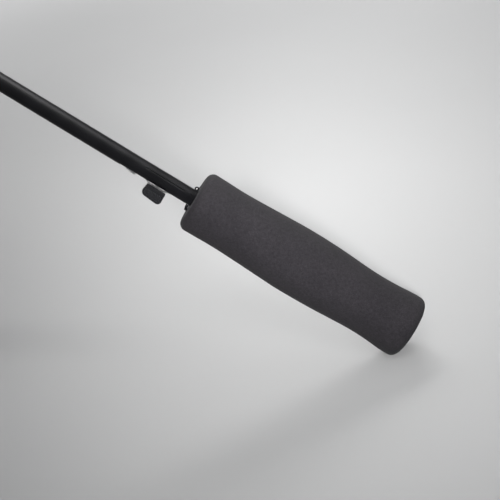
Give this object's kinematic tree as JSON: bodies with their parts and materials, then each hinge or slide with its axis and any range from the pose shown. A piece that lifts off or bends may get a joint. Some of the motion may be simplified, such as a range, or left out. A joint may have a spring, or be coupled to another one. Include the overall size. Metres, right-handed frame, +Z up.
{
  "type": "automatic stick umbrella",
  "caption": "Automatic stick umbrella with a straight foam grip, a push-button release, a sliding runner and a folding ribbed canopy, standing open on its grip and rib tips.",
  "frame": {"origin": "middle of the bounding box on the floor, with the open umbrella leaning on the end of its grip and on two rib tips", "axes": "+Z up; the shaft rises from the grip at +X towards -X, leaning 41.30 degrees above the floor in the XZ plane; Y is across the canopy, which is symmetrical about Y=0 except for the release button and the tie strap"},
  "size_m": [0.7604, 1.0056, 0.7569],
  "materials": {
    "foam": "matt closed-cell foam",
    "shaft_steel": "black satin coating",
    "black_plastic": "satin",
    "grip_plastic": "matt",
    "bright_steel": "bright nickel plate",
    "rib_steel": "black electro-coat",
    "canopy_cloth": "black pongee"
  },
  "bodies": {
    "shaft": {"foam_grip": "foam", "grip_core": "grip_plastic", "core_plug": "grip_plastic", "shaft_tube": "shaft_steel", "split_pin": "shaft_steel", "top_notch": "black_plastic", "notch_wire": "bright_steel", "notch_pin": "bright_steel", "washer": "black_plastic", "top_cap": "black_plastic", "ferrule": "black_plastic"},
    "release": {"leaf_spring": "bright_steel", "button_cap": "black_plastic", "button_rivet": "bright_steel"},
    "runner": {"runner_sleeve": "black_plastic", "runner_crown": "black_plastic", "runner_wire": "bright_steel", "runner_ring": "bright_steel", "main_spring": "bright_steel"},
    "rib_1_arm": {"rib_1": "rib_steel", "rib_tip_1": "black_plastic", "canopy_1": "canopy_cloth"},
    "stretcher_1_arm": {"stretcher_1": "rib_steel"},
    "rib_2_arm": {"rib_2": "rib_steel", "rib_tip_2": "black_plastic", "canopy_2": "canopy_cloth"},
    "stretcher_2_arm": {"stretcher_2": "rib_steel"},
    "rib_3_arm": {"rib_3": "rib_steel", "rib_tip_3": "black_plastic", "canopy_3": "canopy_cloth", "tie_strap": "canopy_cloth"},
    "stretcher_3_arm": {"stretcher_3": "rib_steel"},
    "rib_4_arm": {"rib_4": "rib_steel", "rib_tip_4": "black_plastic", "canopy_4": "canopy_cloth"},
    "stretcher_4_arm": {"stretcher_4": "rib_steel"},
    "rib_5_arm": {"rib_5": "rib_steel", "rib_tip_5": "black_plastic", "canopy_5": "canopy_cloth"},
    "stretcher_5_arm": {"stretcher_5": "rib_steel"},
    "rib_6_arm": {"rib_6": "rib_steel", "rib_tip_6": "black_plastic", "canopy_6": "canopy_cloth"},
    "stretcher_6_arm": {"stretcher_6": "rib_steel"},
    "rib_7_arm": {"rib_7": "rib_steel", "rib_tip_7": "black_plastic", "canopy_7": "canopy_cloth"},
    "stretcher_7_arm": {"stretcher_7": "rib_steel"},
    "rib_8_arm": {"rib_8": "rib_steel", "rib_tip_8": "black_plastic", "canopy_8": "canopy_cloth"},
    "stretcher_8_arm": {"stretcher_8": "rib_steel"}
  },
  "joints": [
    {"name": "runner_slide", "type": "slide", "parent": "shaft", "child": "runner", "axis": [0.7512, 0, -0.66], "range_m": [0, 0.31896], "stiffness_N_per_m": 150, "springref_m": -0.1},
    {"name": "release_press", "type": "hinge", "parent": "shaft", "child": "release", "pos_m": [0.25479, -0.002, 0.10821], "axis": [-0.3149, 0.8788, -0.3585], "range_deg": [0, 3.5], "stiffness_Nm_per_rad": 2.5, "springref_deg": -1.72},
    {"name": "rib_fold_1", "type": "hinge", "parent": "shaft", "child": "rib_1_arm", "pos_m": [-0.21156, -0.00383, 0.51055], "axis": [0.2526, -0.9239, 0.2875], "range_deg": [0, 67.8], "deforming": ["canopy_1"]},
    {"name": "stretcher_fold_1", "type": "hinge", "parent": "rib_1_arm", "child": "stretcher_1_arm", "pos_m": [-0.30633, -0.09579, 0.29827], "axis": [-0.2526, 0.9239, -0.2875], "range_deg": [0, 123.21]},
    {"name": "rib_fold_2", "type": "hinge", "parent": "shaft", "child": "rib_2_arm", "pos_m": [-0.20799, -0.00924, 0.51461], "axis": [0.6098, -0.3827, 0.6941], "range_deg": [0, 67.8], "deforming": ["canopy_2"]},
    {"name": "stretcher_fold_2", "type": "hinge", "parent": "rib_2_arm", "child": "stretcher_2_arm", "pos_m": [-0.21692, -0.23126, 0.40004], "axis": [-0.6098, 0.3827, -0.6941], "range_deg": [0, 123.21]},
    {"name": "rib_fold_3", "type": "hinge", "parent": "shaft", "child": "rib_3_arm", "pos_m": [-0.20294, -0.00924, 0.52036], "axis": [0.6098, 0.3827, 0.6941], "range_deg": [0, 67.8], "deforming": ["canopy_3", "tie_strap"]},
    {"name": "stretcher_fold_3", "type": "hinge", "parent": "rib_3_arm", "child": "stretcher_3_arm", "pos_m": [-0.09047, -0.23126, 0.54397], "axis": [-0.6098, -0.3827, -0.6941], "range_deg": [0, 123.21]},
    {"name": "rib_fold_4", "type": "hinge", "parent": "shaft", "child": "rib_4_arm", "pos_m": [-0.19937, -0.00383, 0.52443], "axis": [0.2526, 0.9239, 0.2875], "range_deg": [0, 67.8], "deforming": ["canopy_4"]},
    {"name": "stretcher_fold_4", "type": "hinge", "parent": "rib_4_arm", "child": "stretcher_4_arm", "pos_m": [-0.00106, -0.09579, 0.64574], "axis": [-0.2526, -0.9239, -0.2875], "range_deg": [0, 123.21]},
    {"name": "rib_fold_5", "type": "hinge", "parent": "shaft", "child": "rib_5_arm", "pos_m": [-0.19937, 0.00383, 0.52443], "axis": [-0.2526, 0.9239, -0.2875], "range_deg": [0, 67.8], "deforming": ["canopy_5"]},
    {"name": "stretcher_fold_5", "type": "hinge", "parent": "rib_5_arm", "child": "stretcher_5_arm", "pos_m": [-0.00106, 0.09579, 0.64574], "axis": [0.2526, -0.9239, 0.2875], "range_deg": [0, 123.21]},
    {"name": "rib_fold_6", "type": "hinge", "parent": "shaft", "child": "rib_6_arm", "pos_m": [-0.20294, 0.00924, 0.52036], "axis": [-0.6098, 0.3827, -0.6941], "range_deg": [0, 67.8], "deforming": ["canopy_6"]},
    {"name": "stretcher_fold_6", "type": "hinge", "parent": "rib_6_arm", "child": "stretcher_6_arm", "pos_m": [-0.09047, 0.23126, 0.54397], "axis": [0.6098, -0.3827, 0.6941], "range_deg": [0, 123.21]},
    {"name": "rib_fold_7", "type": "hinge", "parent": "shaft", "child": "rib_7_arm", "pos_m": [-0.20799, 0.00924, 0.51461], "axis": [-0.6098, -0.3827, -0.6941], "range_deg": [0, 67.8], "deforming": ["canopy_7"]},
    {"name": "stretcher_fold_7", "type": "hinge", "parent": "rib_7_arm", "child": "stretcher_7_arm", "pos_m": [-0.21692, 0.23126, 0.40004], "axis": [0.6098, 0.3827, 0.6941], "range_deg": [0, 123.21]},
    {"name": "rib_fold_8", "type": "hinge", "parent": "shaft", "child": "rib_8_arm", "pos_m": [-0.21156, 0.00383, 0.51055], "axis": [-0.2526, -0.9239, -0.2875], "range_deg": [0, 67.8], "deforming": ["canopy_8"]},
    {"name": "stretcher_fold_8", "type": "hinge", "parent": "rib_8_arm", "child": "stretcher_8_arm", "pos_m": [-0.30633, 0.09579, 0.29827], "axis": [0.2526, 0.9239, 0.2875], "range_deg": [0, 123.21]}
  ],
  "couplings": [
    {"joint": "rib_fold_1", "follows": "runner_slide", "rad_per_m": 3.71},
    {"joint": "stretcher_fold_1", "follows": "runner_slide", "rad_per_m": 6.7421},
    {"joint": "rib_fold_2", "follows": "runner_slide", "rad_per_m": 3.71},
    {"joint": "stretcher_fold_2", "follows": "runner_slide", "rad_per_m": 6.7421},
    {"joint": "rib_fold_3", "follows": "runner_slide", "rad_per_m": 3.71},
    {"joint": "stretcher_fold_3", "follows": "runner_slide", "rad_per_m": 6.7421},
    {"joint": "rib_fold_4", "follows": "runner_slide", "rad_per_m": 3.71},
    {"joint": "stretcher_fold_4", "follows": "runner_slide", "rad_per_m": 6.7421},
    {"joint": "rib_fold_5", "follows": "runner_slide", "rad_per_m": 3.71},
    {"joint": "stretcher_fold_5", "follows": "runner_slide", "rad_per_m": 6.7421},
    {"joint": "rib_fold_6", "follows": "runner_slide", "rad_per_m": 3.71},
    {"joint": "stretcher_fold_6", "follows": "runner_slide", "rad_per_m": 6.7421},
    {"joint": "rib_fold_7", "follows": "runner_slide", "rad_per_m": 3.71},
    {"joint": "stretcher_fold_7", "follows": "runner_slide", "rad_per_m": 6.7421},
    {"joint": "rib_fold_8", "follows": "runner_slide", "rad_per_m": 3.71},
    {"joint": "stretcher_fold_8", "follows": "runner_slide", "rad_per_m": 6.7421}
  ]
}
